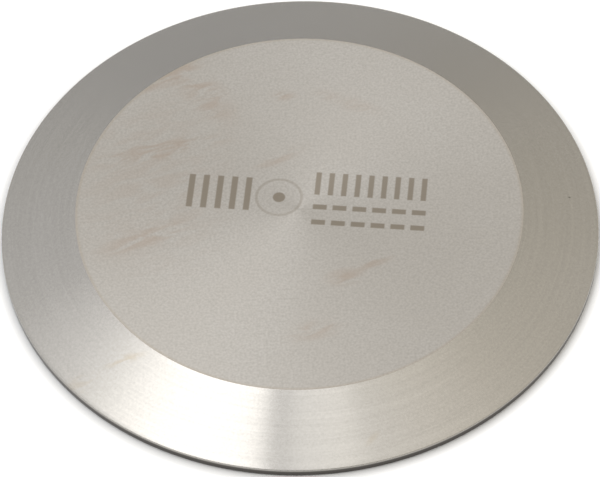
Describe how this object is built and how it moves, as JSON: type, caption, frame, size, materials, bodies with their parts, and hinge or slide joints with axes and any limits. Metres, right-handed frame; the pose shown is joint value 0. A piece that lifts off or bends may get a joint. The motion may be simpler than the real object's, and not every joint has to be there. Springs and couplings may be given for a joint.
{
  "type": "sanitary clamp end cap",
  "caption": "Round solid end cap for a hygienic clamp joint: thin rim, sloped clamping shoulder, flat back face and a gasket groove underneath.",
  "frame": {"origin": "centre of the gasket face, on the axis of the disc; the cap rests on this face", "axes": "+Z along the disc's axis, from the gasket face to the plain back face; the disc is the same all round, so X and Y are free"},
  "size_m": [0.0774, 0.0774, 0.0048],
  "materials": {
    "turned_stainless": "turned 304 stainless steel: the shoulder and rim are smooth and bright, the back face keeps its fine mill finish"
  },
  "bodies": {
    "root": {"end_cap": "turned_stainless"}
  },
  "joints": []
}
